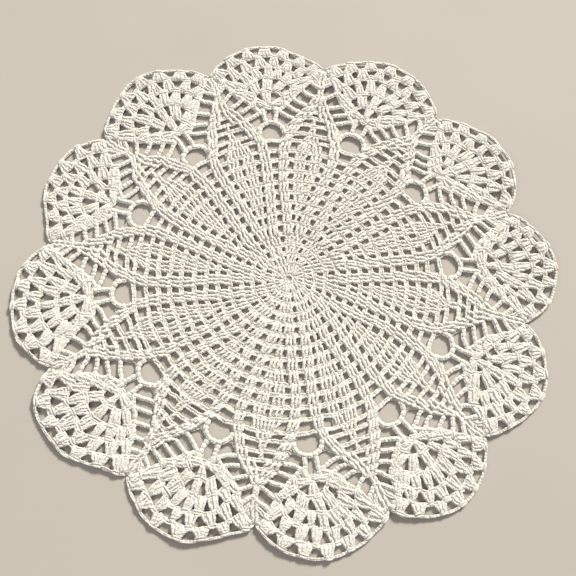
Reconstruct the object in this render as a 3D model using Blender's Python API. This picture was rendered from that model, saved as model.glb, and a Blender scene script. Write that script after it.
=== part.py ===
"""Round crocheted lace doily, lying flat.

One closed solid of cloth in metres, +Z up, with its origin under the middle of its bounding box.
Twelve repeats make the doily: a leaf of close stitches, a round gap with two ladders of chain bars
beside it, and a fan of clusters whose edging makes one scallop. The work is drawn as one even
repeat, which place() then sets round the middle with the unevenness of hand work. The largest
gaps of each repeat are cut through.
"""
import math

import bmesh
import bpy
from mathutils import Vector
from mathutils.geometry import delaunay_2d_cdt

MM = 0.001

# Driving dimensions, in millimetres and degrees
REPEATS = 12
FIRST_AXIS = 120.0          # direction of the first fan's axis, counterclockwise from +X
RING = 106.0                # radius of the ring of large round gaps
FAN_CENTRE = 128.0          # distance from the middle to the point where a fan's clusters meet
SCALLOP = 48.3              # radius of a scallop's edging about that point
EVEN_TO = 112.0             # the work is even out to this radius, and the fans differ beyond it
TWIST = 5.0                 # degrees by which the first rounds lean ahead of the ring

# Thickness of the work, and where it changes
BAR_THICK = 1.6             # chain bars, ladders and spokes
LEAF_THICK = 2.4            # close stitches along a leaf
FAN_THICK = 3.0             # clusters in the middle of a fan
EDGE_THICK = 1.8            # edging cord
LEAF_TIP = 129.0            # distance from the middle to where a leaf closes
FAN_BASE = 123.0            # distance from the middle to where the clusters begin
SPOKE_SIDE = 2.0            # degrees from a fan's axis to the edge of its column of spoke gaps
LEAF_SIDE = 6.0             # degrees over which a leaf rises from there
BLEND = 14.0                # distance over which one thickness passes into the next

STEP = 360.0 / REPEATS
HALF = STEP / 2

# How far each scallop reaches, one row a fan, counterclockwise. notch_turn is how far the notch
# before the fan has slipped round, in degrees. The reaches are radii in mm at the notch, a sixth
# of the way across, at the tip, and a sixth of the way before the next notch.
SCALLOPS = (
    # notch_turn, notch, right, tip, left
    (-0.8, 157.7, 168.8, 178.4, 167.8),
    (0.8, 157.8, 168.2, 172.3, 162.4),
    (0.8, 156.1, 168.9, 176.7, 171.2),
    (1.0, 160.7, 175.6, 178.5, 165.6),
    (1.0, 159.7, 169.9, 176.5, 164.2),
    (1.2, 156.2, 167.6, 175.2, 167.4),
    (1.2, 158.7, 168.8, 177.8, 169.7),
    (-0.8, 159.4, 168.2, 178.2, 169.6),
    (-1.2, 157.2, 171.0, 178.8, 168.8),
    (-2.6, 157.2, 170.1, 178.4, 168.9),
    (-2.2, 159.0, 170.7, 177.9, 166.5),
    (-0.5, 157.7, 164.9, 174.7, 167.5),
)
STATIONS = (0.0, 1 / 6, 1 / 2, 5 / 6)     # where the four reaches lie across a repeat

# Gaps of one repeat round its fan's axis: across and out place the middle in mm, long and short are
# the gap's own sizes, tilt turns its long side outward, and both says it is on the two sides.
GAPS = (
    # name, across, out, long, short, tilt, sides, both
    ("round", 0.0, 106.4, 14.6, 12.0, 0.0, 10, False),
    ("spoke", 0.0, 95.8, 7.2, 4.5, 0.0, 6, False),
    ("point", 0.0, 121.2, 9.6, 6.4, 90.0, 6, False),
    ("ladder_1", 9.4, 113.9, 8.6, 5.2, -38.0, 6, True),
    ("ladder_2", 13.9, 121.3, 9.4, 6.2, -32.0, 6, True),
    ("ladder_3", 19.5, 127.3, 9.8, 5.6, -31.0, 6, True),
    ("ladder_4", 26.4, 132.4, 10.2, 6.0, -28.0, 6, True),
    ("ladder_5", 31.2, 140.0, 7.2, 6.2, -40.0, 6, True),
    ("leaf_1", 17.8, 100.0, 10.0, 4.6, -16.0, 6, True),
    ("leaf_2", 21.3, 106.6, 9.2, 4.5, -17.0, 6, True),
)

# Gaps of one fan, by row: radius and angles about the fan's centre, both sides of its axis. Each
# is wide towards the edging and narrow towards the centre.
FAN_GAPS = (
    # row, radius, outer_width, inner_width, height, angles
    ("edging", 44.2, 8.8, 3.6, 5.6, (8.7, 26.0, 43.5)),
    ("clusters", 37.4, 7.4, 2.4, 6.2, (16.5,)),
)

SHOULDER = 0.32             # height of such a gap's widest place, as a share of its height

# Points between the gaps that carry the thickness: distances from the middle along a fan's axis,
# along a leaf's axis and between the two, and radius and angles about a fan's centre
AXIS_POINTS = (60.0, 72.0, 84.0)
LEAF_POINTS = (24.0, 48.0, 72.0, 90.0)
SIDE_POINTS = (60.0, 74.0, 88.0)
FAN_POINTS = (
    (9.0, (0.0,)),
    (20.0, (-50.0, 0.0, 50.0)),
    (31.0, (-60.0, -30.0, 0.0, 30.0, 60.0)),
)

EDGE_ARCS = 6               # edging arcs of a scallop, one over each gap beside it
ARC_STEPS = 4               # outline points of an edging arc
ARC_RISE = 0.5              # how far an arc's middle stands out
COTTON = (0.86, 0.83, 0.74, 1.0)


def clear_scene():
    for item in list(bpy.data.objects):
        bpy.data.objects.remove(item, do_unlink=True)


def smooth(value):
    value = min(max(value, 0.0), 1.0)
    return value * value * (3 - 2 * value)


def scallop_radius(degrees_off_axis):
    """Radius of the even scallop's edging at an angle from the fan's axis."""
    turn = math.radians(degrees_off_axis)
    across = FAN_CENTRE * math.sin(turn)
    return FAN_CENTRE * math.cos(turn) + math.sqrt(SCALLOP ** 2 - across ** 2)


def station_reach(index):
    """Angle and stretch at one of the stations round the doily, four a repeat."""
    row, spot = divmod(index, len(STATIONS))
    reach = SCALLOPS[row % REPEATS][1 + spot]
    angle = (row + STATIONS[spot]) * STEP
    even = scallop_radius(STATIONS[spot] * STEP - HALF)
    return angle, (reach - EVEN_TO) / (even - EVEN_TO)


def stretch(angle):
    """How much longer or shorter the fans are at an angle counted from the first notch."""
    count = REPEATS * len(STATIONS)
    for index in range(count):
        before, low = station_reach(index)
        after, high = station_reach(index + 1)
        if before <= angle % 360 <= after:
            return low + (high - low) * smooth((angle % 360 - before) / (after - before))
    return 1.0


def slip(angle):
    """Degrees by which the fans have slipped round at an angle counted from the first notch."""
    row, part = divmod(angle % 360, STEP)
    low = SCALLOPS[int(row) % REPEATS][0]
    high = SCALLOPS[(int(row) + 1) % REPEATS][0]
    return low + (high - low) * part / STEP


def place(fan, across, out):
    """Point of the uneven doily for a point of the even repeat, as x and y in metres."""
    radius = math.hypot(across, out)
    angle = fan * STEP + HALF - math.degrees(math.atan2(across, out))
    beyond = max(radius - EVEN_TO, 0.0)
    within = max(1 - radius / RING, 0.0)
    turned = angle + slip(angle) * smooth(beyond / SCALLOP) + TWIST * within ** 2
    radius += beyond * (stretch(angle) - 1)
    heading = math.radians(turned + FIRST_AXIS - HALF)
    return Vector((radius * math.cos(heading), radius * math.sin(heading))) * MM


def gap_corners(across, out, long, short, tilt, sides):
    """Corners of a rounded gap, as points of the even repeat."""
    cos_tilt = math.cos(math.radians(tilt))
    sin_tilt = math.sin(math.radians(tilt))
    corners = []
    for index in range(sides):
        turn = 2 * math.pi * (index + 0.5) / sides
        u = long / 2 * math.cos(turn) / math.cos(math.pi / sides)
        v = short / 2 * math.sin(turn)
        corners.append((across + u * cos_tilt - v * sin_tilt, out + u * sin_tilt + v * cos_tilt))
    return corners


def fan_gap_corners(radius, outer_width, inner_width, height, angle):
    """Corners of a gap between clusters, as points of the even repeat."""
    profile = (
        (-outer_width / 2, height * SHOULDER),
        (-inner_width / 2, -height / 2),
        (inner_width / 2, -height / 2),
        (outer_width / 2, height * SHOULDER),
        (0.0, height / 2),
    )
    cos_turn = math.cos(math.radians(angle))
    sin_turn = math.sin(math.radians(angle))
    corners = []
    for side, up in profile:
        outward = radius + up
        corners.append((outward * sin_turn + side * cos_turn,
                        FAN_CENTRE + outward * cos_turn - side * sin_turn))
    return corners


def repeat_gaps():
    """Corner lists of every gap of one repeat."""
    gaps = []
    for _, across, out, long, short, tilt, sides, both in GAPS:
        gaps.append(gap_corners(across, out, long, short, tilt, sides))
        if both:
            gaps.append(gap_corners(-across, out, long, short, -tilt, sides))
    for _, radius, outer_width, inner_width, height, angles in FAN_GAPS:
        for angle in angles:
            for side in (-1, 1):
                gaps.append(fan_gap_corners(radius, outer_width, inner_width, height, side * angle))
    return gaps


def outline():
    """Points of the scalloped edge, counterclockwise, with the doily's unevenness."""
    notch = math.radians(HALF)
    reach = scallop_radius(HALF)
    widest = math.degrees(math.atan2(reach * math.sin(notch), reach * math.cos(notch) - FAN_CENTRE))
    points = []
    for fan in range(REPEATS):
        for index in range(EDGE_ARCS * ARC_STEPS):
            part = index / (EDGE_ARCS * ARC_STEPS)
            turn = math.radians(widest * (2 * part - 1))
            rise = ARC_RISE * abs(math.sin(math.pi * part * EDGE_ARCS))
            across = -(SCALLOP + rise) * math.sin(turn)
            points.append(place(fan, across, FAN_CENTRE + (SCALLOP + rise) * math.cos(turn)))
    return points


def thickness(across, out):
    """Thickness of the work at a point of the even repeat, in millimetres."""
    radius = math.hypot(across, out)
    off_axis = abs(math.degrees(math.atan2(across, out)))
    from_fan = math.hypot(across, out - FAN_CENTRE)
    on_leaf = smooth((off_axis - SPOKE_SIDE) / LEAF_SIDE) * smooth((LEAF_TIP - radius) / BLEND)
    on_fan = smooth((SCALLOP - from_fan) / BLEND) * smooth((out - FAN_BASE) / BLEND)
    thick = BAR_THICK + (LEAF_THICK - BAR_THICK) * on_leaf
    return max(thick, EDGE_THICK + (FAN_THICK - EDGE_THICK) * on_fan)


def ray_point(distance, degrees_off_axis):
    """Point of the even repeat at a distance from the middle, on a ray off the fan's axis."""
    turn = math.radians(degrees_off_axis)
    return distance * math.sin(turn), distance * math.cos(turn)


def relief_points():
    """Points of the even repeat between gaps, where the work's thickness changes."""
    points = [ray_point(distance, 0.0) for distance in AXIS_POINTS]
    points += [ray_point(distance, HALF) for distance in LEAF_POINTS]
    points += [ray_point(distance, side * HALF / 2) for side in (-1, 1) for distance in SIDE_POINTS]
    for radius, angles in FAN_POINTS:
        for angle in angles:
            across, out = ray_point(radius, angle)
            points.append((across, FAN_CENTRE + out))
    return points


def build_plan():
    """Plan points round the middle of their box, their thickness, and the cloth's border loops."""
    edge = outline()
    points = list(edge)
    thick = [EDGE_THICK] * len(edge)
    loops = [list(range(len(edge)))]
    for fan in range(REPEATS):
        for corners in repeat_gaps():
            loops.append(list(range(len(points), len(points) + len(corners))))
            for across, out in corners:
                points.append(place(fan, across, out))
                thick.append(thickness(across, out))
        for across, out in relief_points():
            points.append(place(fan, across, out))
            thick.append(thickness(across, out))
    points.append(Vector((0.0, 0.0)))
    thick.append(LEAF_THICK)
    middle = Vector([(min(values) + max(values)) / 2 for values in zip(*edge)])
    return [point - middle for point in points], thick, loops


def fill_plan(points, loops):
    """Triangles of the cloth between its outline and its gaps.

    A triangle with all three corners on one gap's rim lies inside that gap and is left out.
    """
    edges = []
    owner = {}
    for number, loop in enumerate(loops):
        for index, first in enumerate(loop):
            edges.append((first, loop[(index + 1) % len(loop)]))
            owner[first] = number
    result = delaunay_2d_cdt(points, edges, [loops[0]], 1, 1e-7)
    source = [origins[0] for origins in result[3]]
    triangles = []
    for corners in result[2]:
        corners = [source[corner] for corner in corners]
        rims = {owner.get(corner, -1) for corner in corners}
        if len(rims) > 1 or rims <= {-1, 0}:
            triangles.append(corners)
    return triangles


def build_doily():
    points, thick, loops = build_plan()
    work = bmesh.new()
    top = [work.verts.new((point.x, point.y, height * MM)) for point, height in zip(points, thick)]
    for corners in fill_plan(points, loops):
        work.faces.new([top[corner] for corner in corners])
    under = bmesh.ops.extrude_face_region(work, geom=work.faces[:])
    for item in under["geom"]:
        if isinstance(item, bmesh.types.BMVert):
            item.co.z = 0.0
    bmesh.ops.recalc_face_normals(work, faces=work.faces[:])
    mesh = bpy.data.meshes.new("doily")
    work.to_mesh(mesh)
    work.free()
    doily = bpy.data.objects.new("doily", mesh)
    bpy.context.scene.collection.objects.link(doily)
    return doily


def cotton():
    material = bpy.data.materials.new("ecru_cotton")
    material.use_nodes = True
    shader = material.node_tree.nodes["Principled BSDF"]
    shader.inputs["Base Color"].default_value = COTTON
    shader.inputs["Roughness"].default_value = 0.9
    shader.inputs["Metallic"].default_value = 0.0
    return material


clear_scene()
build_doily().data.materials.append(cotton())
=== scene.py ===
"""Round crocheted lace doily, dressed stitch by stitch in cotton yarn.

The work is drawn as one even repeat in millimetres and set round the middle by place(), with the
same unevenness as the solid in the frame. A fan's frame has its axis upwards: across to the right
and out away from the middle. A leaf lies half a step before the fan of its number. Every stitch is
one or more short strands of yarn between two points of the plan.
"""
import math

import bpy
import numpy as np
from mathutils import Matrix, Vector
from mathutils.geometry import delaunay_2d_cdt


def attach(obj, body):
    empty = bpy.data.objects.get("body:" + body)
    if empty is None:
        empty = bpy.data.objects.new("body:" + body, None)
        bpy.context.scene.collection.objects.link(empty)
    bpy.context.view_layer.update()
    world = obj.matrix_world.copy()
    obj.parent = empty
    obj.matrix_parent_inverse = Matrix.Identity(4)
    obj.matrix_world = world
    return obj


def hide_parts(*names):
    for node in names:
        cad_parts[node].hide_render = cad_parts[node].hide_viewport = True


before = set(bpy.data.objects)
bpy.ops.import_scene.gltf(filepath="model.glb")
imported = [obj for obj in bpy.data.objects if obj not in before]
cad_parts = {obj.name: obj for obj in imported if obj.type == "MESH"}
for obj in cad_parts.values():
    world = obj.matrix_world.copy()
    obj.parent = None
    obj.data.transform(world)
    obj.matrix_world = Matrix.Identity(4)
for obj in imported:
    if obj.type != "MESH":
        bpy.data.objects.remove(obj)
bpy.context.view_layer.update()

MM = 0.001
SEED = 12

# The plan's driving sizes, in millimetres and degrees
REPEATS = 12
STEP = 360.0 / REPEATS
HALF = STEP / 2
FIRST_AXIS = 120.0      # direction of the first fan's axis
RING = 106.0            # radius of the ring of large round gaps
FAN_CENTRE = 128.0      # how far out a scallop's centre lies
SCALLOP = 48.3          # a scallop's radius about it
EDGE_ARCS = 6           # small bulges along a scallop's edge,
EDGE_RISE = 0.5         # and how far they stand out
EVEN_TO = 112.0         # radius up to which every repeat is alike
TWIST = 5.0             # how far the middle is turned against the fans
STATIONS = np.array((0.0, 1 / 6, 1 / 2, 5 / 6))     # where in a repeat SCALLOPS gives the edge
SCALLOPS = np.array((
    # notch_turn, notch, right, tip, left
    (-0.8, 157.7, 168.8, 178.4, 167.8),
    (0.8, 157.8, 168.2, 172.3, 162.4),
    (0.8, 156.1, 168.9, 176.7, 171.2),
    (1.0, 160.7, 175.6, 178.5, 165.6),
    (1.0, 159.7, 169.9, 176.5, 164.2),
    (1.2, 156.2, 167.6, 175.2, 167.4),
    (1.2, 158.7, 168.8, 177.8, 169.7),
    (-0.8, 159.4, 168.2, 178.2, 169.6),
    (-1.2, 157.2, 171.0, 178.8, 168.8),
    (-2.6, 157.2, 170.1, 178.4, 168.9),
    (-2.2, 159.0, 170.7, 177.9, 166.5),
    (-0.5, 157.7, 164.9, 174.7, 167.5),
))

# Yarn
YARN = 0.78             # radius of a strand,
CLUSTER_YARN = 0.82     # in the puffed clusters of the fans,
BAR_YARN = 0.92         # in the free bars, where nothing presses it,
EDGE_YARN = YARN * 0.78     # and in the edging cord
LINK = 2.7              # length of a chain stitch
POST = 2.3              # width of a double crochet
PLY_LAY = 1.7           # distance between plies along a strand
EDGE_CORD = 1.1         # half the width of the edging cord
STRAND_SIDES = 4
END_TAPER = 0.72        # how thin a strand is at its ends
SHEET_LOW = 0.45        # underside of the close inner layer over the table,
SHEET_HIGH = 1.3        # and its top

# How far the ends of stitches stray from their places
POST_STRAY = 0.3        # posts of a round and feet of clusters
HEAD_STRAY = 0.4        # heads of clusters and the chains at them
STEM_STRAY = 0.12       # posts between two fans

# Rounds of the middle and the leaves. Gaps are widths in mm: spoke is the gap on a fan's axis,
# side the one between a leaf's border band and its middle, heart the one on the leaf's own axis.
ROUNDS = (
    # top, spoke, side_at, side, heart, band, middle
    (10.6, 0.0, 0.0, 0.0, 0.0, 0, 2),
    (17.2, 1.9, 0.0, 0.0, 0.0, 0, 3),
    (24.3, 2.5, 0.0, 0.0, 0.0, 0, 4),
    (31.4, 3.0, 0.0, 0.0, 0.0, 0, 5),
    (38.9, 3.4, 0.0, 0.0, 2.0, 3, 0),
    (46.4, 3.6, 2.7, 2.2, 0.0, 3, 1),
    (53.8, 3.7, 4.1, 2.6, 0.0, 3, 2),
    (61.4, 3.8, 5.8, 2.9, 0.0, 3, 4),
    (69.3, 3.8, 6.7, 3.1, 0.0, 3, 5),
    (76.9, 3.9, 7.2, 3.2, 1.0, 3, 6),
    (84.8, 4.1, 7.6, 3.4, 1.6, 3, 6),
    (91.9, 5.2, 7.5, 3.8, 3.2, 3, 6),
    (99.8, 7.3, 6.8, 5.2, 0.8, 3, 7),
    (105.0, 14.6, 5.0, 9.4, 0.0, 3, 4),
    (112.1, 20.5, 3.4, 8.4, 0.0, 3, 2),
    (118.4, 29.5, 2.3, 5.4, 0.0, 3, 1),
    (124.0, 37.5, 0.0, 0.0, 5.2, 3, 0),
    (129.3, 47.5, 0.0, 0.0, 0.6, 3, 0),
    (135.0, 60.0, 0.0, 0.0, 0.4, 2, 0),
)
SNUG = (                # how much narrower the yarn leaves the gaps of the middle
    # radius, narrower_mm
    (20.0, 1.3),
    (40.0, 0.8),
    (80.0, 0.7),
    (100.0, 0.0),
)
BRIDGE_WIDE = 1.65      # spread of a round's top chain over a gap of the middle,
OPEN_WIDE = 1.25        # over a gap of the outer rounds,
TOP_WIDE = 1.35         # and over posts
TOP_LIFT = -0.08        # how high it lies over posts,
BRIDGE_LIFT = 0.1       # over a gap,
BORDER_TOP_LIFT = 0.2   # and over the posts of a leaf's border
LEAST_GAP = 1.4 * POST  # what lies between two posts farther apart than this is a gap
ROUND_PUFF = 0.22       # how much higher a round's posts are in the middle than at their heads
BORDER_RISE = 0.3       # how much higher the posts of a leaf's border stand
SLANT = 1.1             # how far a post's head leans to one side of its foot, in mm
RING_START = 4.0        # radius where the first round is worked into the starting ring
MIDDLE_ROUNDS = 10      # rounds that belong to the middle's pieces; the rest are the leaves'
CLOSE_ROUNDS = 11       # rounds whose chains spread wide over gaps
WHOLE_ROUNDS = 13       # rounds that run all the way round; later ones stop at the leaf

# Rows of clusters in a fan: radius of the row's top about the fan's centre, how far it drops
# towards its ends, where its ends are, how far its feet reach into the row below, spread of a
# cluster's feet and heads, posts in a cluster, and the clusters' angles on one side
FAN_ROWS = (
    # top, drop, end, under, feet, head, posts, clusters
    (10.9, 0.0, 93.0, 0.0, 1.7, 5.4, 3, (0.0, 78.0)),
    (21.4, 3.0, 76.0, 0.3, 3.6, 4.4, 3, (0.0, 33.5, 66.0)),
    (31.8, 4.2, 66.0, 0.5, 5.0, 2.4, 3, (0.0, 16.6, 33.2, 49.5, 64.5)),
    (40.4, 1.4, 68.0, 0.4, 7.0, 2.1, 3, (8.3, 24.8, 41.3, 57.0)),
    (47.2, 0.0, 58.0, 0.4, 8.8, 2.8, 4, (0.0, 17.4, 34.8, 51.5)),
)
INNER_ROWS = 3          # rows that belong to the inner clusters' piece
FIRST_FEET = 1.2        # radius where the first row is worked into the fan's small ring
CROWN = 0.25            # how much higher the middle of a cluster is than its sides
SLACK = 0.45            # how far a cluster slips to one side
HEAD_UNEVEN = 0.65      # how far clusters' heads lie higher or lower in their row,
EDGE_UNEVEN = 0.2       # and in the last row, under the edging
PUFF = 0.35             # how much higher the middle of a puffed stitch is than its ends
CLOSE_LIFT = 0.4        # how high the loops lie that close a cluster's head
CLOSE_PAST = 0.6        # how far they reach past it on each side
BOW = 0.25              # how far a cluster's sides swell out halfway up

# Chain bars beside a fan, from the leaf to the fan, across and out
RUNGS = (
    # leaf_across, leaf_out, fan_across, fan_out
    (17.0, 116.6, 5.5, 123.0),
    (20.7, 122.3, 11.7, 127.2),
    (26.4, 126.8, 18.0, 132.5),
    (32.3, 130.0, 24.9, 138.9),
    (36.5, 136.2, 29.4, 146.4),
)
RUNG_SAG = 0.4          # how far a rung hangs through
# Corners of the cord along a fan's side, after the rungs' fan ends
FAN_SIDE = ((34.2, 150.2), (38.6, 152.6))
# Across and out: the bars on both sides of a fan's root, and the chain over them
ROOT_BAR = ((3.6, 114.8), (4.2, 125.8))
ROOT_CAP = ((-5.6, 124.4), (-2.6, 127.8), (2.6, 127.8), (5.6, 124.4))
# Feet and heads of the posts that make the stem between two fans, up to the notch
STEMS = ((132.5, 141.0), (140.5, 149.0), (148.5, 157.0))
STEM_WIDE = 1.3
STEM_APART = 1.2        # how far they stand from the leaf's axis
ARCH = (8.8, 7.8)       # half width and height of the chain arch round a large gap
ARCH_TURNS = np.radians(np.linspace(-12, 192, 10))
GAP_OUT = 106.4         # middle of the large round gap
GAP = (15.0, 12.6)      # its width and height
UPPER_OUT = 120.6       # the gap above it
UPPER_GAP = (9.4, 5.4)
FAN_RING = (7, 2.3)     # links and radius of the small ring that a fan is worked from
START_LINKS = 9         # links of the ring in the middle
EDGE_END = 57.6         # angle about the fan's centre where its edging meets the next
EDGE_STOPS = 45

# Gaps in the close inner layer
ROUND_TRIM = 1.6        # how much lower a gap is than its round,
ROUND_EXTRA = 0.5       # and how much wider than the gap in the yarn
LEAST_HEART = 0.9       # narrower gaps on a leaf's axis stay closed in it
SIDE_GAP = ((2.6, 115.0), (5.6, 122.6), (16.6, 116.2), (11.2, 111.2), (6.9, 111.9))
RUNG_TRIM = 0.7         # how much smaller a ladder gap is all round
LEAF_TRIMS = (1.1, 1.1, 1.0, 0.4, 0.0)      # how far each rung's leaf end lies under the leaf
ROW_TRIM = 0.9          # how much lower a gap between clusters is at its top and bottom,
LAST_TRIM = 0.45        # and at the top of the last row
FIRST_LOW = 4.2         # where the gaps of the first row begin
CLUSTER_TRIM = 0.8      # how far a cluster's posts reach past their middles
LEAST_HALF = 1.5        # half of a gap's least width at its foot, in degrees

# How the cloth stands off the table
OFF_FROM = 90.0         # radius where it starts to,
OFF_OVER = 80.0         # how far on it does so in full,
OFF_MOST = 1.8          # and how high at most
OFF_WAVE = 110.0        # length of the waves in which it does so

CAMERA_PLACE = (-0.0550, -0.1742, 0.5373)
CAMERA_TURN = (17.88, -3.72, -6.36)
CAMERA_LENS = 54.54
LAMPS = (
    # name, place, size, power, colour
    ("window light", (4.0, 5.0, 5.0), 2.0, 1000.0, (1.0, 0.99, 0.96)),
    ("fill light", (-2.2, -1.4, 2.8), 2.8, 36.0, (0.95, 0.98, 1.0)),
)
ROOM_LIGHT = {"Color": (0.92, 0.95, 1.0, 1), "Strength": 0.35}
TABLE_SIZE = 9.0

FANS = np.arange(REPEATS)
random = np.random.default_rng(SEED)


def smooth(value):
    value = np.clip(value, 0.0, 1.0)
    return value * value * (3 - 2 * value)


def scallop_radius(degrees_off_axis):
    """Radius of the even scallop's edging at an angle from the fan's axis."""
    turn = np.radians(degrees_off_axis)
    return FAN_CENTRE * np.cos(turn) + np.sqrt(SCALLOP ** 2 - (FAN_CENTRE * np.sin(turn)) ** 2)


def stretch(angle):
    """How much longer or shorter the fans are at angles counted from the first notch."""
    stops = np.append((FANS[:, None] + STATIONS).ravel() * STEP, 360.0)
    even = scallop_radius(STATIONS * STEP - HALF) - EVEN_TO
    ratio = ((SCALLOPS[:, 1:] - EVEN_TO) / even).ravel()
    ratio = np.append(ratio, ratio[0])
    angle = angle % 360
    after = np.clip(np.searchsorted(stops, angle, side="right"), 1, len(stops) - 1)
    part = smooth((angle - stops[after - 1]) / (stops[after] - stops[after - 1]))
    return ratio[after - 1] + (ratio[after] - ratio[after - 1]) * part


def slip(angle):
    """Degrees by which the fans have slipped round at angles counted from the first notch."""
    turns = np.append(SCALLOPS[:, 0], SCALLOPS[0, 0])
    return np.interp(angle % 360, np.arange(REPEATS + 1) * STEP, turns)


def place(fan, across, out):
    """Points of the uneven doily, in mm, for points of the even repeat."""
    radius = np.hypot(across, out)
    angle = fan * STEP + HALF - np.degrees(np.arctan2(across, out))
    beyond = np.maximum(radius - EVEN_TO, 0.0)
    within = np.maximum(1 - radius / RING, 0.0)
    turned = angle + slip(angle) * smooth(beyond / SCALLOP) + TWIST * within ** 2
    radius = radius + beyond * (stretch(angle) - 1)
    heading = np.radians(turned + FIRST_AXIS - HALF)
    return np.stack([radius * np.cos(heading), radius * np.sin(heading)], -1)


# How hand work wanders: over a few repeats, and from stitch to stitch
HAND = (
    # wave_mm, amount_mm
    (45.0, 0.26),
    (15.0, 0.16),
)
HAND_WAVES = [random.normal(size=(6, 2)) * 2 * math.pi / wave for wave, _ in HAND]
HAND_STARTS = random.uniform(0, 2 * math.pi, (len(HAND), 6, 2))


def wander(points):
    """How far uneven tension moves points of the doily, in mm."""
    grown = 0.6 + 1.0 * smooth((np.hypot(*np.moveaxis(points, -1, 0)) - RING) / 30.0)
    moved = np.zeros(points.shape)
    for (_, amount), waves, starts in zip(HAND, HAND_WAVES, HAND_STARTS):
        phase = (points @ waves.T)[..., None] + starts
        moved += amount * np.sin(phase).sum(-2)
    return moved * grown[..., None]


def even_outline():
    """The scalloped edge as the solid has it: fans, across and out."""
    count = EDGE_ARCS * 4
    reach = scallop_radius(HALF)
    notch = math.radians(HALF)
    widest = math.degrees(math.atan2(reach * math.sin(notch), reach * math.cos(notch) - FAN_CENTRE))
    part = np.arange(count) / count
    turn = np.radians(widest * (2 * part - 1))
    bulge = SCALLOP + EDGE_RISE * np.abs(np.sin(np.pi * part * EDGE_ARCS))
    across, out = -bulge * np.sin(turn), FAN_CENTRE + bulge * np.cos(turn)
    return np.repeat(FANS, count), np.tile(across, REPEATS), np.tile(out, REPEATS)


OUTLINE = place(*even_outline())
MIDDLE = (OUTLINE.min(0) + OUTLINE.max(0)) / 2


def on_plan(fan, across, out):
    """Plan points in mm about the doily's own middle, for points of the even repeat."""
    fan, across, out = (np.asarray(value, float) for value in (fan, across, out))
    off_axis = (fan * STEP - np.degrees(np.arctan2(across, out)) + HALF) % STEP - HALF
    rim = smooth((np.hypot(across, out) / scallop_radius(off_axis) - 0.9) / 0.08)
    placed = place(fan, across, out)
    return placed + wander(placed) * (1 - 0.75 * rim)[..., None] - MIDDLE


def leaf_point(leaf, degrees, radius):
    """Plan points from a leaf's number, an angle off its axis and a radius."""
    turn = np.radians(degrees)
    return on_plan(np.asarray(leaf, float) - 0.5, -radius * np.sin(turn), radius * np.cos(turn))


def fan_point(fan, degrees, radius):
    """Plan points from a fan's number, and an angle and a radius about the fan's centre."""
    turn = np.radians(degrees)
    return on_plan(fan, radius * np.sin(turn), FAN_CENTRE + radius * np.cos(turn))


# Strands. Their rows are: share of the way from foot to head, aside in mm, up in mm.
def puff_rise(along, puff):
    """How much a puffed strand is lifted: in its middle, and where it lies over the round below."""
    return puff * (np.sin(np.pi * np.clip(along, 0, 1)) + 0.9 - 1.2 * along)


def twisted(turns, count, starts, puff, bow):
    """Strands laid round the line of a double crochet, one for each start, as an array."""
    along = np.linspace(-0.1, 1.02, count)
    phase = 2 * np.pi * turns[:, None] * along + starts[:, None]
    up = 1.4 + 0.4 * np.sin(phase) + puff_rise(along, puff)
    up[:, 0] -= 0.9 * puff
    aside = TWIST_WIDE * np.cos(phase) + bow[:, None] * np.sin(np.pi * np.clip(along, 0, 1))
    return np.stack([np.broadcast_to(along, phase.shape), aside, up], -1)


# The legs of a chain stitch lie in a V. Only one leg is given, and the other is its mirror image.
LINK_LEG = np.array((
    # along, aside, up
    (-0.22, 0.36, 1.05),
    (0.28, 0.68, 1.48),
    (0.78, 0.66, 1.66),
    (1.26, 0.26, 1.1),
))
SHORT_LEG = np.array((
    # along, aside, up
    (-0.26, 0.44, 1.1),
    (0.25, 0.72, 1.5),
    (0.78, 0.68, 1.62),
    (1.28, 0.3, 1.15),
))
# The loop along the back of a chain, seen between its legs where it is stretched over a gap
BACK_LOOP = np.array((
    # along, aside, up
    (-0.2, 0.0, 1.0),
    (0.3, 0.1, 1.3),
    (0.7, -0.1, 1.3),
    (1.2, 0.0, 1.0),
))
# The strand hidden in the middle of a double crochet, which fills it out
CORE = np.array((
    # along, aside, up
    (-0.12, 0.0, 1.05),
    (0.3, 0.0, 1.2),
    (0.72, 0.0, 1.2),
    (1.05, 0.0, 1.05),
))
# The loops that lie slantwise over a double crochet, and how far along it each may be moved
OVERLAY = np.array((
    # along, aside, up
    (0.50, -0.85, 0.95),
    (0.59, -0.32, 1.9),
    (0.68, 0.32, 1.9),
    (0.77, 0.85, 0.95),
))
OVERLAY_MOVES = ((-0.14, 0.06), (-0.44, -0.24))
TWIST_WIDE = 0.52       # how far a twisted strand goes round its line
CORE_FULL = 1.2         # how much thicker the hidden strand is,
CORE_LIFT = 0.15        # and how much higher than its shape it lies
OVERLAY_FINE = 0.78     # how much thinner an overlay is
SWELL = 0.9             # how much of a post's bow its middle strands take

# How each kind of chain looks, and how far its ends stray
TOP_CHAIN = dict(stray=0.26, leg=SHORT_LEG, back=0.15)
CLOSING_CHAIN = dict(lift=CLOSE_LIFT, wide=1.2, radius=BAR_YARN, leg=SHORT_LEG)
ROW_CHAIN = dict(stray=HEAD_STRAY, lift=0.15, wide=1.1, leg=SHORT_LEG)
RING_CHAIN = dict(stray=0.15, lift=0.3)
BAR_CHAIN = dict(stray=0.18, wide=1.2, radius=BAR_YARN, back=0.5)
ARCH_CHAIN = dict(stray=0.18, lift=0.1, wide=1.4, radius=BAR_YARN, back=0.5)
SIDE_CHAIN = dict(stray=0.3, wide=1.35, radius=BAR_YARN, back=0.5)
CAP_CHAIN = dict(stray=0.2, wide=1.2, back=0.5)
EDGE_CHAIN = dict(stray=0.07, lift=0.05, wide=0.6, radius=EDGE_YARN)


def puffed(shape, puff):
    return shape + puff_rise(shape[:, :1], puff) * (0, 0, 1)


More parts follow.
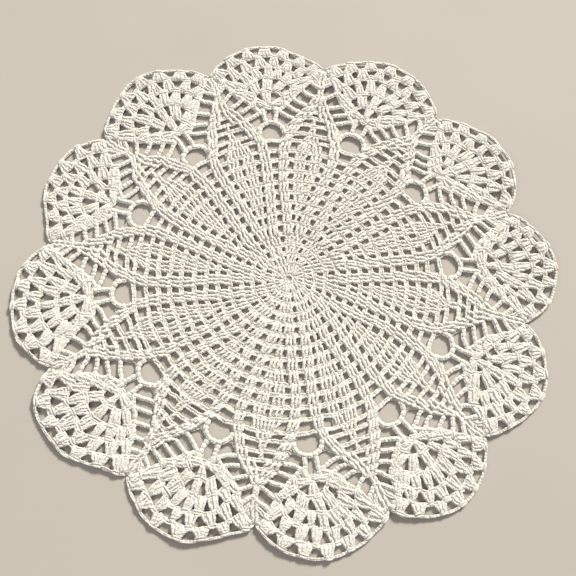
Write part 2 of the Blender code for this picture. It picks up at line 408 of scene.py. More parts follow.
class Work:
    """Strands of one piece, gathered as arrays of points with a radius."""

    def __init__(self):
        self.groups = []

    def add(self, foot, head, strand, wide=1.0, radius=YARN, lift=0.0):
        """Strands from each foot to each head, both in plan mm. strand is one shape or one for each."""
        run = head - foot
        length = np.hypot(run[:, 0], run[:, 1])[:, None]
        side = np.stack([-run[:, 1], run[:, 0]], -1) / length
        strand = np.broadcast_to(strand, (len(foot),) + strand.shape[-2:])
        along, aside, up = np.moveaxis(strand, -1, 0)
        aside = aside * np.reshape(wide, (-1, 1))
        flat = foot[:, None] + run[:, None] * along[..., None] + side[:, None] * aside[..., None]
        height = up + np.reshape(lift, (-1, 1))
        self.groups.append((np.concatenate([flat, height[..., None]], -1), radius))

    def chain(self, nodes, closed=False, stray=0.0, **looks):
        """Chain stitches along a run of plan points."""
        if stray:
            nodes = jitter(nodes, stray)
        foot = nodes if closed else nodes[:-1]
        head = np.roll(nodes, -1, 0) if closed else nodes[1:]
        self.links(foot, head, **looks)

    def links(self, foot, head, lift=0.0, wide=1.0, radius=YARN, leg=LINK_LEG, back=None):
        """A chain stitch from each foot to each head."""
        wide = wide * random.uniform(0.88, 1.12, len(foot))
        lift = lift + random.uniform(-0.1, 0.1, len(foot))
        tilt = random.uniform(-0.22, 0.22, len(foot))
        for side in (-1, 1):
            self.add(foot, head, leg * (1, side, 1), wide, radius, lift + side * tilt)
        if back is not None:
            self.add(foot, head, BACK_LOOP, 1.0, radius, lift + back)

    def posts(self, foot, head, wide=1.0, count=5, puff=0.0, lift=0.0, radius=YARN, bow=0.0,
              full=False, loops=1):
        """Double crochets from foot to head, each twisted its own way."""
        starts = random.uniform(0, 2 * np.pi, len(foot))
        turns = random.uniform(0.85, 1.15, len(foot))
        bow = np.broadcast_to(bow, starts.shape)
        for half in (0.0, np.pi):
            shape = twisted(turns, count, starts + half, puff, bow)
            self.add(foot, head, shape, wide, radius, lift)
        if full:
            filling = np.tile(puffed(CORE, puff), (len(foot), 1, 1))
            filling[..., 1] += bow[:, None] * (0.0, SWELL, SWELL, 0.0)
            self.add(foot, head, filling, 1.0, radius * CORE_FULL, lift + CORE_LIFT)
        for low, high in OVERLAY_MOVES[:loops]:
            over = np.tile(OVERLAY + (0, 0, puff), (len(foot), 1, 1))
            over[..., 0] += random.uniform(low, high, (len(foot), 1))
            over[..., 1] += bow[:, None] * SWELL
            over *= (1, random.choice((-1, 1)), 1)
            self.add(foot, head, over, 1.0, radius * OVERLAY_FINE, lift)


def jitter(points, stray):
    return points + random.normal(scale=stray, size=points.shape)


def spread(start, end, count):
    """Middles of count equal parts of the way from start to end."""
    return [start + (end - start) * (index + 0.5) / count for index in range(count)]


def mirrored(angles):
    return [-angle for angle in reversed(angles)]


# Rounds of the middle and the leaves
def half_angle(width, radius):
    return math.degrees(width / 2 / radius)


def snug(radius):
    """How much narrower the yarn leaves a gap at a radius of the middle."""
    return np.interp(radius, *zip(*SNUG))


def on_leaves(degrees, radius, leaves=FANS):
    """Plan points at the same angles off each leaf's axis, leaf by leaf."""
    return leaf_point(np.repeat(leaves, len(degrees)), np.tile(degrees, len(leaves)), radius)


def round_foot(index):
    """Radius that a round's posts stand on."""
    return ROUNDS[index - 1][0] if index else RING_START


def round_edges(index):
    """Edges of a round's groups, as angles off the leaf's axis: outer, inner, middle and heart."""
    top, spoke, side_at, side, heart, band, middle = ROUNDS[index]
    radius = (top + round_foot(index)) / 2
    spoke, side, heart = (max(width - snug(radius), 0.0) for width in (spoke, side, heart))
    outer = HALF - half_angle(spoke, radius)
    heart_edge = half_angle(heart, radius)
    if not band:
        return outer, outer, outer, heart_edge
    if not middle:
        return outer, heart_edge, 0.0, 0.0
    half_side = half_angle(side, radius)
    return outer, side_at + half_side, side_at - half_side, heart_edge


def blended_edges(index, other):
    """A round's edges halfway to those of the round below or above it."""
    mine = round_edges(index)
    if not 0 <= other < len(ROUNDS):
        return mine
    theirs = round_edges(other)
    blended = [(a + b) / 2 for a, b in zip(mine, theirs)]
    alike = all(bool(a) == bool(b) for a, b in zip(ROUNDS[index][5:], ROUNDS[other][5:]))
    return blended if alike else blended[:1] + list(mine[1:])


def group_angles(edges, band, middle):
    """Angles of a round's posts off the leaf's axis, as one list for each group between gaps."""
    outer, inner, core, heart = edges
    if not band:
        return [spread(-outer, outer, middle)]
    right = spread(-outer, -inner, band)
    groups = [right]
    if middle and heart > 0.0 and middle % 2 == 0:
        arm = spread(-core, -heart, middle // 2)
        groups += [arm, mirrored(arm)]
    elif middle:
        groups.append(spread(-core, core, middle))
    return groups + [mirrored(right)]


def post_angles(index, other):
    """Groups of a round's posts where it meets another round."""
    band, middle = ROUNDS[index][5:]
    return group_angles(blended_edges(index, other), band, middle)


def round_top(index):
    """Angles of the chain stitches along a round's top for one leaf, and what each lies over."""
    top, _, _, _, _, band, middle = ROUNDS[index]
    groups = post_angles(index, index + 1)
    link = math.degrees(LINK / top)
    if index < WHOLE_ROUNDS:
        groups.append([groups[0][0] + STEP])
    run = list(groups[0])
    kinds = ["border" if band else "middle"] * (len(run) - 1)
    # The other border's group, or the second arm's where a gap splits the middle
    raised = 2 if middle else 1
    for number, group in enumerate(groups[1:], 1):
        gap = group[0] - run[-1]
        count = max(round(gap / link), 1)
        kinds += ["gap" if gap * math.radians(top) > LEAST_GAP else "middle"] * count
        run += [run[-1] + gap * index / count for index in range(1, count)] + group
        kinds += ["border" if band and number == raised else "middle"] * (len(group) - 1)
    if index < WHOLE_ROUNDS:
        run.pop()
    return run, np.array(kinds)


def leaning(foot, head):
    """How far each post's head is moved to one side, and its foot to the other."""
    along = head - foot
    slant = SLANT / 2 * random.uniform(0.0, 2.0, (len(foot), 1))
    return np.stack([along[:, 1], -along[:, 0]], -1) * slant / np.hypot(*along.T)[:, None]


def crochet_posts(index, work):
    """A round's double crochets."""
    top, low, band = ROUNDS[index][0], round_foot(index), ROUNDS[index][5]
    feet = sum(post_angles(index, index - 1), [])
    heads = sum(post_angles(index, index + 1), [])
    foot = on_leaves(feet, low - 0.1)
    head = on_leaves(heads, top - 0.5)
    spacing = np.abs(np.radians(np.tile(np.gradient(heads), REPEATS))) * (top + low) / 2
    lean = leaning(foot, head)
    wide = np.clip(spacing / POST, 0.72, 1.25) * random.uniform(0.86, 1.08, len(spacing))
    foot = jitter(foot - lean, POST_STRAY)
    head = jitter(head + lean, POST_STRAY)
    order = np.arange(len(feet))
    border = np.tile((order < band) | (order >= len(feet) - band), REPEATS)
    for part, radius, rise in ((border, BAR_YARN, BORDER_RISE), (~border, YARN, 0.0)):
        work.posts(foot[part], head[part], wide[part], lift=rise, puff=ROUND_PUFF, radius=radius,
                   full=rise > 0.0)


def crochet_top(index, work):
    """The chain along a round's top, closed round the doily or one for each leaf."""
    run, kinds = round_top(index)
    gaps = kinds == "gap"
    wide = np.where(gaps, BRIDGE_WIDE if index < CLOSE_ROUNDS else OPEN_WIDE, TOP_WIDE)
    high = np.where(gaps, BRIDGE_LIFT, np.where(kinds == "border", BORDER_TOP_LIFT, TOP_LIFT))
    whole = index < WHOLE_ROUNDS
    for leaves in [FANS] if whole else FANS[:, None]:
        looks = dict(lift=np.tile(high, len(leaves)), wide=np.tile(wide, len(leaves)), **TOP_CHAIN)
        work.chain(on_leaves(run, ROUNDS[index][0], leaves), whole, **looks)


def crochet_start_ring(work):
    turns = np.arange(START_LINKS) * 2 * np.pi / START_LINKS
    ring = np.stack([np.cos(turns), np.sin(turns)], -1) * (RING_START - 0.6) - MIDDLE
    work.chain(ring, closed=True)


# Fans
def row_radius(row, degrees):
    """Radius of a row's top at an angle about the fan's centre."""
    top, drop, end = FAN_ROWS[row][:3]
    return top - drop * (np.abs(degrees) / end) ** 2


CLUSTER_SLACK = random.normal(scale=SLACK, size=(len(FAN_ROWS), REPEATS, 9))


def cluster_angles(row):
    """Angles of a row's clusters about the fan's centre, a row of them for each fan."""
    angles = np.array(sorted({side * angle for angle in FAN_ROWS[row][7] for side in (-1, 1)}))
    slack = np.degrees(CLUSTER_SLACK[row][:, :len(angles)] / FAN_ROWS[row][0])
    return angles + np.clip(slack, -5, 5)


def crochet_cluster(work, row, angle, low, high, fuller):
    """One cluster in every fan: posts side by side, with a filling strand between each two."""
    feet, head, count = FAN_ROWS[row][4:7]
    for index in range(count):
        share = index / (count - 1) - 0.5
        foot_turn = angle + np.degrees(share * feet * fuller / np.maximum(low, 2.2))
        head_turn = angle + np.degrees(share * head * fuller / high)
        foot = fan_point(FANS, foot_turn, low)
        tip = fan_point(FANS, head_turn, high)
        rise = CROWN * (1 - 4 * share ** 2)
        work.posts(jitter(foot, POST_STRAY), jitter(tip, HEAD_STRAY), puff=PUFF, lift=rise,
                   radius=CLUSTER_YARN, bow=-2 * BOW * share, full=True, loops=2)
        if index:
            work.add((foot + last[0]) / 2, (tip + last[1]) / 2, puffed(CORE, PUFF), 1.0, BAR_YARN, rise)
        last = foot, tip


def close_cluster(work, row, angle, high, fuller):
    """The loops over the head of one cluster in every fan."""
    head = FAN_ROWS[row][5]
    reach = np.degrees((head / 2 * fuller + CLOSE_PAST) / high)
    stops = np.linspace(-1, 1, round((head + 2 * CLOSE_PAST) / LINK) + 1)
    nodes = [jitter(fan_point(FANS, angle + stop * reach, high - 0.1), HEAD_STRAY) for stop in stops]
    for left, right in zip(nodes, nodes[1:]):
        work.links(left, right, **CLOSING_CHAIN)


def crochet_cluster_row(row, work):
    under = FAN_ROWS[row][3]
    uneven = HEAD_UNEVEN if row < len(FAN_ROWS) - 1 else EDGE_UNEVEN
    for angle in cluster_angles(row).T:
        low = row_radius(row - 1, angle) - under if row else np.full(REPEATS, FIRST_FEET)
        high = row_radius(row, angle) - 0.3 + random.normal(scale=uneven, size=REPEATS)
        fuller = random.uniform(0.85, 1.15, REPEATS)
        crochet_cluster(work, row, angle, low, high, fuller)
        close_cluster(work, row, angle, high, fuller)


def crochet_in_fans(work, degrees, radius, looks, closed=False):
    """The same chain about the centre of every fan."""
    for fan in range(REPEATS):
        work.chain(fan_point(fan, degrees, radius), closed, **looks)


def crochet_fan_rings(work):
    """The small ring that each fan is worked from."""
    count, radius = FAN_RING
    crochet_in_fans(work, np.arange(count) * 360.0 / count, radius, RING_CHAIN, closed=True)


def crochet_row_chain(row, work):
    """The low chain that joins the clusters of a row, hidden under the next row's feet."""
    top, _, end = FAN_ROWS[row][:3]
    stops = np.linspace(-end, end, max(round(math.radians(2 * end) * top / LINK), 2) + 1)
    crochet_in_fans(work, stops, row_radius(row, stops), ROW_CHAIN)


def bar(work, fan, start, end, sag=0.0):
    """A bar of chain stitches between two points of a fan's frame."""
    share = np.linspace(0, 1, max(round(math.dist(start, end) / LINK), 1) + 1)
    across = start[0] + (end[0] - start[0]) * share
    out = start[1] + (end[1] - start[1]) * share - sag * np.sin(np.pi * share)
    work.chain(on_plan(fan, across, out), **BAR_CHAIN)


def path_points(fan, corners):
    """Plan points a chain stitch apart along a run of corners in a fan's frame."""
    corners = np.array(corners, float)
    run = np.concatenate([[0.0], np.cumsum(np.hypot(*np.diff(corners, axis=0).T))])
    stops = np.linspace(0, run[-1], max(round(run[-1] / LINK), 1) + 1)
    across, out = (np.interp(stops, run, corners[:, axis]) for axis in (0, 1))
    return on_plan(fan, across, out)


def crochet_ladders(work):
    """The chain bars beside each fan, the arch and cords that they hang from, and the stems."""
    for fan in range(REPEATS):
        for rung in RUNGS:
            for side in (-1, 1):
                bar(work, fan, *(np.reshape(rung, (2, 2)) * (side, 1)), sag=RUNG_SAG)
        across, out = ARCH[0] * np.cos(ARCH_TURNS), GAP_OUT + ARCH[1] * np.sin(ARCH_TURNS)
        work.chain(on_plan(fan, across, out), **ARCH_CHAIN)
        for side in (-1, 1):
            cord = [rung[2:] for rung in RUNGS] + list(FAN_SIDE)
            work.chain(path_points(fan, np.array(cord) * (side, 1)), **SIDE_CHAIN)
            bar(work, fan, *(np.array(ROOT_BAR) * (side, 1)))
        work.chain(path_points(fan, ROOT_CAP), **CAP_CHAIN)
    for side in (-1, 1):
        for ends in STEMS:
            foot, head = (leaf_point(FANS, side * np.degrees(STEM_APART / end), end) for end in ends)
            work.posts(jitter(foot, STEM_STRAY), jitter(head, STEM_STRAY), STEM_WIDE, count=6,
                       radius=BAR_YARN, full=True)


def crochet_edging(work):
    """The cord along the scallops."""
    part = np.linspace(0, 1, EDGE_STOPS)
    bulge = SCALLOP - EDGE_CORD + EDGE_RISE * np.abs(np.sin(np.pi * part * EDGE_ARCS))
    crochet_in_fans(work, EDGE_END * (2 * part - 1), bulge, EDGE_CHAIN)


# The close inner layer of the work, a thin sheet with every gap cut through
def set_round(across, out, u, v, tilt):
    """Corners about a point of a frame, turned by tilt degrees."""
    turn_cos, turn_sin = math.cos(math.radians(tilt)), math.sin(math.radians(tilt))
    return across + u * turn_cos - v * turn_sin, out + u * turn_sin + v * turn_cos


def round_corners(out, size, tilt, sides):
    """Corners of a rounded gap on a fan's axis."""
    turn = 2 * np.pi * (np.arange(sides) + 0.5) / sides
    u = size[0] / 2 * np.cos(turn) / math.cos(math.pi / sides)
    return np.stack(set_round(0.0, out, u, size[1] / 2 * np.sin(turn), tilt), -1)


def square_corners(across, out, wide, high, tilt):
    """Corners of a four-sided gap round a point of a frame."""
    u = np.array((-1, 1, 1, -1)) * wide / 2
    v = np.array((-1, -1, 1, 1)) * high / 2
    return np.stack(set_round(across, out, u, v, tilt), -1)


def leaf_gaps():
    """Corners of a leaf's gaps in its own frame, and those on the fan's axis beside it."""
    gaps = []
    for index, (top, spoke, side_at, side, heart, band, middle) in enumerate(ROUNDS):
        foot = round_foot(index)
        radius = (foot + top) / 2
        wanted = []
        if index < WHOLE_ROUNDS and spoke:
            wanted.append((HALF, spoke))
        if band and middle:
            wanted += [(side_at, side), (-side_at, side)]
        if heart > LEAST_HEART:
            wanted.append((0.0, heart))
        for degrees, width in wanted:
            turn = math.radians(degrees)
            across, out = -radius * math.sin(turn), radius * math.cos(turn)
            wide = width + ROUND_EXTRA - snug(radius) / 2
            gaps.append(square_corners(across, out, wide, top - foot - ROUND_TRIM, degrees))
    return gaps


def shrunk(corners, by):
    """Corners moved towards their middle."""
    corners = np.array(corners, float)
    inward = corners.mean(0) - corners
    return corners + inward * by / np.hypot(*inward.T)[:, None]


def ladder_gaps(side):
    """Corners of the gaps between a fan's rungs on one side, in its own frame."""
    bars = []
    for rung, trim in zip(RUNGS, LEAF_TRIMS):
        start, end = np.reshape(rung, (2, 2))
        bars.append((start - trim * ((end - start) / np.hypot(*(end - start))), end))
    gaps = [SIDE_GAP] + [(*below, *above[::-1]) for below, above in zip(bars, bars[1:])]
    return [shrunk(corners, RUNG_TRIM) * (side, 1) for corners in gaps]


def cluster_gaps(row, fan):
    """Corners of the gaps between a row's clusters, in the fan's frame."""
    feet, head = FAN_ROWS[row][4:6]
    angles = cluster_angles(row)[fan]
    gaps = []
    for left, right in zip(angles, angles[1:]):
        middle = (left + right) / 2
        low = row_radius(row - 1, middle) + ROW_TRIM if row else FIRST_LOW
        high = row_radius(row, middle) - (ROW_TRIM if row < len(FAN_ROWS) - 1 else LAST_TRIM)
        foot = math.degrees((feet / 2 + CLUSTER_TRIM) / low)
        foot = min(foot, (right - left) / 2 - LEAST_HALF)
        tip = math.degrees((head / 2 + CLUSTER_TRIM) / high)
        turns = np.radians([left + foot, left + tip, right - tip, right - foot])
        reach = np.array([low, high, high, low])
        gaps.append(np.stack([reach * np.sin(turns), FAN_CENTRE + reach * np.cos(turns)], -1))
    return gaps


def fan_gaps(fan):
    """Corners of a fan's gaps in its own frame."""
    gaps = [round_corners(GAP_OUT, GAP, 0.0, 12), round_corners(UPPER_OUT, UPPER_GAP, 90.0, 6)]
    gaps += ladder_gaps(1) + ladder_gaps(-1)
    for row in range(len(FAN_ROWS)):
        gaps += cluster_gaps(row, fan)
    return gaps


def sheet_loops():
    """The sheet's outline, inside the edging cord, and then its gaps, all as plan points."""
    fans, across, out = even_outline()
    reach = np.hypot(across, out)
    shrink = (reach - EDGE_CORD) / reach
    loops = [on_plan(fans, across * shrink, out * shrink)]
    for fan in range(REPEATS):
        loops += [on_plan(fan - 0.5, *corners.T) for corners in leaf_gaps()]
        loops += [on_plan(fan, *corners.T) for corners in fan_gaps(fan)]
    return loops


def fill_sheet(loops):
    """Triangles between the outline and the gaps. One with all its corners on a rim is left out."""
    points = np.concatenate(loops)
    owner = np.repeat(np.arange(len(loops)), [len(loop) for loop in loops])
    edges = []
    start = 0
    for loop in loops:
        edges += [(start + index, start + (index + 1) % len(loop)) for index in range(len(loop))]
        start += len(loop)
    border = list(range(len(loops[0])))
    result = delaunay_2d_cdt([Vector(point) for point in points.tolist()], edges, [border], 1, 1e-6)
    source = [origins[0] if origins else -1 for origins in result[3]]
    faces = np.array([[source[corner] for corner in face] for face in result[2]])
    rims = owner[faces]
    inside = (rims[:, 0] == rims[:, 1]) & (rims[:, 1] == rims[:, 2]) & (rims[:, 0] > 0)
    return points, faces[~inside]


off_random = np.random.default_rng(SEED + 1)
OFF_WAVES = off_random.normal(size=(5, 2)) * 2 * math.pi / OFF_WAVE
OFF_STARTS = off_random.uniform(0, 2 * math.pi, 5)


def off_table(points):
    """How far the cloth stands off the table at plan points, in mm."""
    reach = np.hypot(points[..., 0], points[..., 1])
    waves = np.sin(points @ OFF_WAVES.T + OFF_STARTS).sum(-1)
    return smooth((reach - OFF_FROM) / OFF_OVER) * np.clip(0.5 + 0.35 * waves, 0.0, OFF_MOST)


# Meshes
def new_mesh(name, points, faces, sizes):
    """An object from an array of points and its faces' corners and sizes."""
    mesh = bpy.data.meshes.new(name)
    mesh.vertices.add(len(points))
    mesh.vertices.foreach_set("co", (points * MM).astype(np.float32).ravel())
    mesh.loops.add(len(faces))
    mesh.loops.foreach_set("vertex_index", faces.astype(np.int32))
    mesh.polygons.add(len(sizes))
    mesh.polygons.foreach_set("loop_start", (np.cumsum(sizes) - sizes).astype(np.int32))
    mesh.polygons.foreach_set("use_smooth", np.ones(len(sizes), bool))
    mesh.update(calc_edges=True)
    piece = bpy.data.objects.new(name, mesh)
    bpy.context.scene.collection.objects.link(piece)
    return piece


def tube_rings(points, radius):
    """Rings of skin points round each strand's points."""
    tangent = np.gradient(points, axis=1)
    tangent /= np.linalg.norm(tangent, axis=-1, keepdims=True)
    across = np.cross(tangent, (0.0, 0.0, 1.0))
    across /= np.linalg.norm(across, axis=-1, keepdims=True)
    above = np.cross(across, tangent)
    turn = 2 * np.pi * (np.arange(STRAND_SIDES) + 0.5) / STRAND_SIDES
    taper = np.ones(points.shape[1])
    taper[[0, -1]] = END_TAPER
    ring = np.cos(turn)[:, None] * across[:, :, None] + np.sin(turn)[:, None] * above[:, :, None]
    return points[:, :, None] + radius * taper[:, None, None] * ring


def tube_map(points):
    """A strand's own map at the corners of its walls: plies along it, and the share round it."""
    count, length = points.shape[:2]
    run = np.linalg.norm(np.diff(points, axis=1), axis=-1).cumsum(1)
    run = np.concatenate([np.zeros((count, 1)), run], 1) / PLY_LAY
    here = np.broadcast_to(np.arange(STRAND_SIDES) / STRAND_SIDES, (count, length - 1, STRAND_SIDES))
    beside = here + 1 / STRAND_SIDES
    low = np.broadcast_to(run[:, :-1, None], here.shape)
    high = np.broadcast_to(run[:, 1:, None], here.shape)
    corners = ((low, here), (high, here), (high, beside), (low, beside))
    return np.stack([np.stack(corner, -1) for corner in corners], -2).reshape(-1, 2)


def sweep(points, radius):
    """Closed tubes along strands: points, face corners, face sizes and corner UVs."""
    count, length = points.shape[:2]
    number = np.arange(count * length * STRAND_SIDES).reshape(count, length, STRAND_SIDES)
    after = np.roll(number, -1, 2)
    walls = np.stack([number[:, :-1], number[:, 1:], after[:, 1:], after[:, :-1]], -1)
    caps = np.stack([number[:, 0], number[:, -1, ::-1]], 1)
    faces = np.concatenate([walls.ravel(), caps.ravel()])
    sizes = np.repeat((4, STRAND_SIDES), (walls.size // 4, count * 2))
    uvs = np.concatenate([tube_map(points), np.zeros((caps.size, 2))])
    return tube_rings(points, radius).reshape(-1, 3), faces, sizes, uvs


def yarn_piece(name, work):
    """One object of all the strands of a piece of work."""
    parts = []
    start = 0
    for strands, radius in work.groups:
        strands = strands.copy()
        strands[..., 2] += off_table(strands[..., :2])
        skin, corners, sizes, uvs = sweep(strands, radius)
        tints = np.repeat(random.uniform(0, 1, len(strands)), strands.shape[1] * STRAND_SIDES)
        parts.append((skin, corners + start, sizes, uvs, tints))
        start += len(skin)
    skin, corners, sizes, uvs, tints = (np.concatenate(part) for part in zip(*parts))
    piece = new_mesh(name, skin, corners, sizes)
    layer = piece.data.uv_layers.new(name="yarn")
    layer.data.foreach_set("uv", uvs.astype(np.float32).ravel())
    tint = piece.data.attributes.new("tint", "FLOAT", "POINT")
    tint.data.foreach_set("value", tints.astype(np.float32))
    return piece


def rim_edges(faces, count):
    """Edges that belong to one triangle only."""
    edges = np.concatenate([faces[:, [0, 1]], faces[:, [1, 2]], faces[:, [2, 0]]])
    key = edges[:, 0] * count + edges[:, 1]
    return edges[~np.isin(key, edges[:, 1] * count + edges[:, 0])]


def sheet_piece(name):
    """The close inner layer as a closed sheet, and its outline."""
    loops = sheet_loops()
    points, faces = fill_sheet(loops)
    used, fresh = np.unique(faces, return_inverse=True)
    points, faces = points[used], fresh.reshape(faces.shape)
    count = len(points)
    raised = off_table(points)
    top = np.column_stack([points, raised + SHEET_HIGH])
    under = np.column_stack([points, raised + SHEET_LOW])
    rim = rim_edges(faces, count)
    walls = np.stack([rim[:, 1], rim[:, 0], rim[:, 0] + count, rim[:, 1] + count], -1)
    corners = np.concatenate([faces.ravel(), (faces[:, ::-1] + count).ravel(), walls.ravel()])
    sizes = np.repeat((3, 4), (2 * len(faces), len(walls)))
    return new_mesh(name, np.concatenate([top, under]), corners, sizes), loops[0]


# Materials
def fill(tree, made, inputs):
    """Give a node's inputs their values, or links where a value is another node's output."""
    for name, value in inputs.items():
        if isinstance(value, bpy.types.NodeSocket):
            tree.links.new(value, made.inputs[name])
        else:
            made.inputs[name].default_value = value


def node(tree, kind, inputs, **settings):
    """The outputs of a new node, placed to the right of the others."""
    made = tree.nodes.new("ShaderNode" + kind)
    made.location = (180 * len(tree.nodes), 0)
    for name, value in settings.items():
        setattr(made, name, value)
    fill(tree, made, inputs)
    return made.outputs


def calculate(tree, operation, *values):
    return node(tree, "Math", dict(enumerate(values)), operation=operation)[0]


def mix(tree, share, first, second):
    """A colour between two others."""
    inputs = {"Factor": share, "A": first, "B": second}
    return node(tree, "Mix", inputs, data_type="RGBA")["Result"]


def new_group(name, inputs, outputs):
    """A node group with the given sockets, its input node's outputs and its output node."""
    group = bpy.data.node_groups.new(name, "ShaderNodeTree")
    for socket, kind, value in inputs:
        made = group.interface.new_socket(socket, in_out="INPUT", socket_type="NodeSocket" + kind)
        if value is not None:
            made.default_value = value
    for socket, kind in outputs:
        group.interface.new_socket(socket, in_out="OUTPUT", socket_type="NodeSocket" + kind)
    return group, group.nodes.new("NodeGroupInput").outputs, group.nodes.new("NodeGroupOutput")


def yarn_twist_group():
    """Ply ridges, fuzz and a mask of grooves, where painted shade goes, from a strand's own map."""
    group, given, end = new_group("yarn twist", (
        # socket, kind, value
        ("Strand", "Vector", None),
        ("Position", "Vector", None),
        ("Plies", "Float", 3.0),
        ("Fuzz", "Float", 0.35),
    ), (("Height", "Float"), ("Groove", "Float")))
    parts = node(group, "SeparateXYZ", {0: given["Strand"]})
    around = calculate(group, "MULTIPLY", parts["Y"], given["Plies"])
    both = calculate(group, "ADD", parts["X"], around)
    turn = calculate(group, "MULTIPLY", both, 2 * math.pi)
    wave = calculate(group, "SINE", turn)
    ridge = node(group, "MapRange", {"Value": wave, "From Min": -1.0})[0]
    fuzz = node(group, "TexNoise", {"Vector": given["Position"], "Scale": 2600.0, "Detail": 3.0})[0]
    height = calculate(group, "MULTIPLY_ADD", fuzz, given["Fuzz"], ridge)
    fill(group, end, {"Height": height, "Groove": ridge})
    return group


def cotton_shade_group():
    """Cotton's colour: soft patches over the work, fine flecks and a tint for each strand, with painted
    shade in the ply grooves.
    """
    group, given, end = new_group("cotton shade", (
        # socket, kind, value
        ("Position", "Vector", None),
        ("Tint", "Float", 0.5),
        ("Groove", "Float", 1.0),
        ("Light", "Color", (0.82, 0.78, 0.705, 1)),
        ("Dark", "Color", (0.71, 0.67, 0.59, 1)),
        # The darkest colour is painted shade, which the ply grooves are darkened towards
        ("Groove Shade", "Color", (0.46, 0.42, 0.33, 1)),
    ), (("Color", "Color"),))
    place_on = given["Position"]
    patch = node(group, "TexNoise", {"Vector": place_on, "Scale": 38.0, "Detail": 2.0})[0]
    fleck = node(group, "TexNoise", {"Vector": place_on, "Scale": 900.0, "Detail": 4.0})[0]
    uneven = calculate(group, "ADD", calculate(group, "ADD", patch, fleck), given["Tint"])
    share = node(group, "MapRange", {"Value": uneven, "From Min": 0.75, "From Max": 2.25})[0]
    # How far a groove is darkened towards the painted shade
    groove_shade_share = node(group, "MapRange", {
        "Value": given["Groove"],
        "From Max": 0.55,
        "To Min": 0.55,
        "To Max": 0.0,
    })[0]
    base = mix(group, share, given["Dark"], given["Light"])
    fill(group, end, {"Color": mix(group, groove_shade_share, base, given["Groove Shade"])})
    return group


def new_material(name, looks):
    """A material, its node tree and its shader, with values for the shader's inputs."""
    material = bpy.data.materials.new(name)
    material.use_nodes = True
    tree = material.node_tree
    shader = tree.nodes["Principled BSDF"]
    fill(tree, shader, looks)
    return material, tree, shader


COTTON = {
    "Sheen Weight": 0.25,
    "Sheen Roughness": 0.5,
    "Sheen Tint": (1.0, 0.97, 0.9, 1.0),
    "Specular IOR Level": 0.25,
}


def yarn_cotton(twist, shade):
    """Plied crochet cotton on strands that carry their own map and tint."""
    material, tree, shader = new_material("ecru crochet cotton", {"Roughness": 0.82, **COTTON})
    strand = node(tree, "UVMap", {}, uv_map="yarn")[0]
    tint = node(tree, "Attribute", {}, attribute_name="tint")["Fac"]
    place_on = node(tree, "TexCoord", {})["Object"]
    ply = node(tree, "Group", {"Strand": strand, "Position": place_on}, node_tree=twist)
    # The colour holds painted shade in the ply grooves
    colour = node(tree, "Group", {
        "Position": place_on,
        "Tint": tint,
        "Groove": ply["Groove"],
    }, node_tree=shade)[0]
    relief = {"Height": ply["Height"], "Strength": 0.35, "Distance": 0.00022}
    fill(tree, shader, {"Base Color": colour, "Normal": node(tree, "Bump", relief)[0]})
    return material


def shaded_inner_cotton(shade):
    """The close inner strands, seen only between stitches, in darker copies of the cotton's colours:
    painted shade between the stitches.
    """
    material, tree, shader = new_material("ecru inner strands in painted shade", {"Roughness": 0.9, **COTTON})
    place_on = node(tree, "TexCoord", {})["Object"]
    strands = node(tree, "TexWave", {
        "Vector": place_on,
        "Scale": 190.0,
        "Distortion": 9.0,
        "Detail": 2.0,
        "Detail Scale": 1.6,
    }, wave_type="BANDS", bands_direction="DIAGONAL")["Fac"]
    # Darker copies of the cotton's colours: painted shade between the stitches, darkest in the bands
    # between the inner strands
    colour = node(tree, "Group", {
        "Position": place_on,
        "Groove": strands,
        "Light": (0.64, 0.60, 0.52, 1),
        "Dark": (0.50, 0.47, 0.39, 1),
        "Groove Shade": (0.38, 0.35, 0.28, 1),
    }, node_tree=shade)[0]
    relief = {"Height": strands, "Strength": 0.8, "Distance": 0.0005}
    fill(tree, shader, {"Base Color": colour, "Normal": node(tree, "Bump", relief)[0]})
    return material


def table_paint():
    """Pale paint with a faint cloudiness."""
    material, tree, shader = new_material("pale table", {"Roughness": 0.8})
    place_on = node(tree, "TexCoord", {})["Object"]
    cloud = node(tree, "TexNoise", {"Vector": place_on, "Scale": 6.0})[0]
    paint = mix(tree, cloud, (0.42, 0.37, 0.31, 1), (0.46, 0.41, 0.35, 1))
    fill(tree, shader, {"Base Color": paint})
    return material


# The table, the lights and the camera
def lay_table():
    bpy.ops.object.select_all(action="DESELECT")
    bpy.ops.mesh.primitive_plane_add(size=TABLE_SIZE, location=(0, 0, 0))
    table = bpy.context.active_object
    table.name = "table"
    table.data.materials.append(table_paint())
    return table


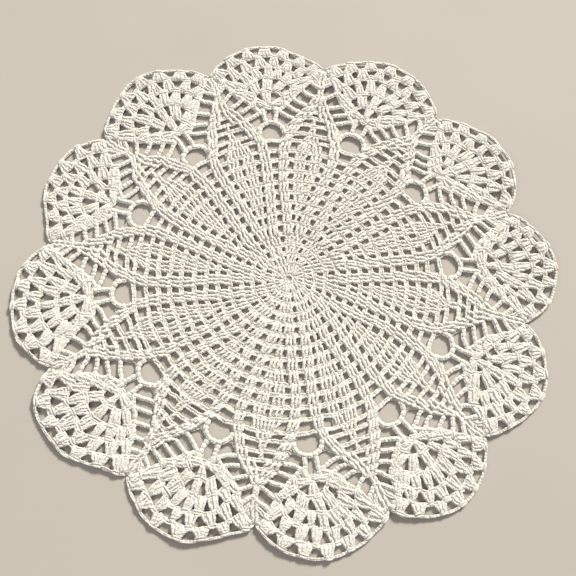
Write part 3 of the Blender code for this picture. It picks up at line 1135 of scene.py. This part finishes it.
def add_lamp(name, at, size, power, colour):
    """A round lamp that points at the doily."""
    lamp = bpy.data.lights.new(name, "AREA")
    lamp.shape = "DISK"
    lamp.size = size
    lamp.energy = power
    lamp.color = colour
    holder = bpy.data.objects.new(name, lamp)
    holder.location = at
    holder.rotation_euler = (-Vector(at)).to_track_quat("-Z", "Y").to_euler()
    bpy.context.scene.collection.objects.link(holder)


def light_studio():
    bpy.context.scene.view_settings.view_transform = "Standard"
    for row in LAMPS:
        add_lamp(*row)
    world = bpy.data.worlds.new("soft room")
    world.use_nodes = True
    fill(world.node_tree, world.node_tree.nodes["Background"], ROOM_LIGHT)
    bpy.context.scene.world = world


def place_camera():
    lens = bpy.data.cameras.new("camera")
    lens.lens = CAMERA_LENS
    lens.sensor_width = 36.0
    lens.clip_start = 0.01
    holder = bpy.data.objects.new("camera", lens)
    holder.location = Vector(CAMERA_PLACE) - Vector((MIDDLE[0] * MM, MIDDLE[1] * MM, 0.0))
    holder.rotation_euler = [math.radians(turn) for turn in CAMERA_TURN]
    bpy.context.scene.collection.objects.link(holder)
    bpy.context.scene.camera = holder


# The doily
def crochet():
    """The yarn of the whole doily, by piece."""
    works = {name: Work() for name in (
        "middle_stitches", "middle_chains", "leaf_stitches", "leaf_chains", "inner_clusters",
        "outer_clusters", "fan_chains", "ladders", "edging")}
    crochet_start_ring(works["middle_chains"])
    for index in range(len(ROUNDS)):
        zone = "middle" if index < MIDDLE_ROUNDS else "leaf"
        crochet_posts(index, works[zone + "_stitches"])
        crochet_top(index, works[zone + "_chains"])
    for row in range(len(FAN_ROWS)):
        crochet_cluster_row(row, works["inner_clusters" if row < INNER_ROWS else "outer_clusters"])
        if row < len(FAN_ROWS) - 1:
            crochet_row_chain(row, works["fan_chains"])
    crochet_fan_rings(works["fan_chains"])
    crochet_ladders(works["ladders"])
    crochet_edging(works["edging"])
    return works


place_camera()
light_studio()
table = lay_table()

twist = yarn_twist_group()
shade = cotton_shade_group()
cotton = yarn_cotton(twist, shade)
yarns = [yarn_piece(name, work) for name, work in crochet().items()]
for yarn in yarns:
    yarn.data.materials.append(cotton)
cloth, outline = sheet_piece("inner_strands")
# The inner layer's colour is painted shade between the stitches
cloth.data.materials.append(shaded_inner_cotton(shade))

for piece in yarns + [cloth]:
    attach(piece, "root")
    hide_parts("doily")
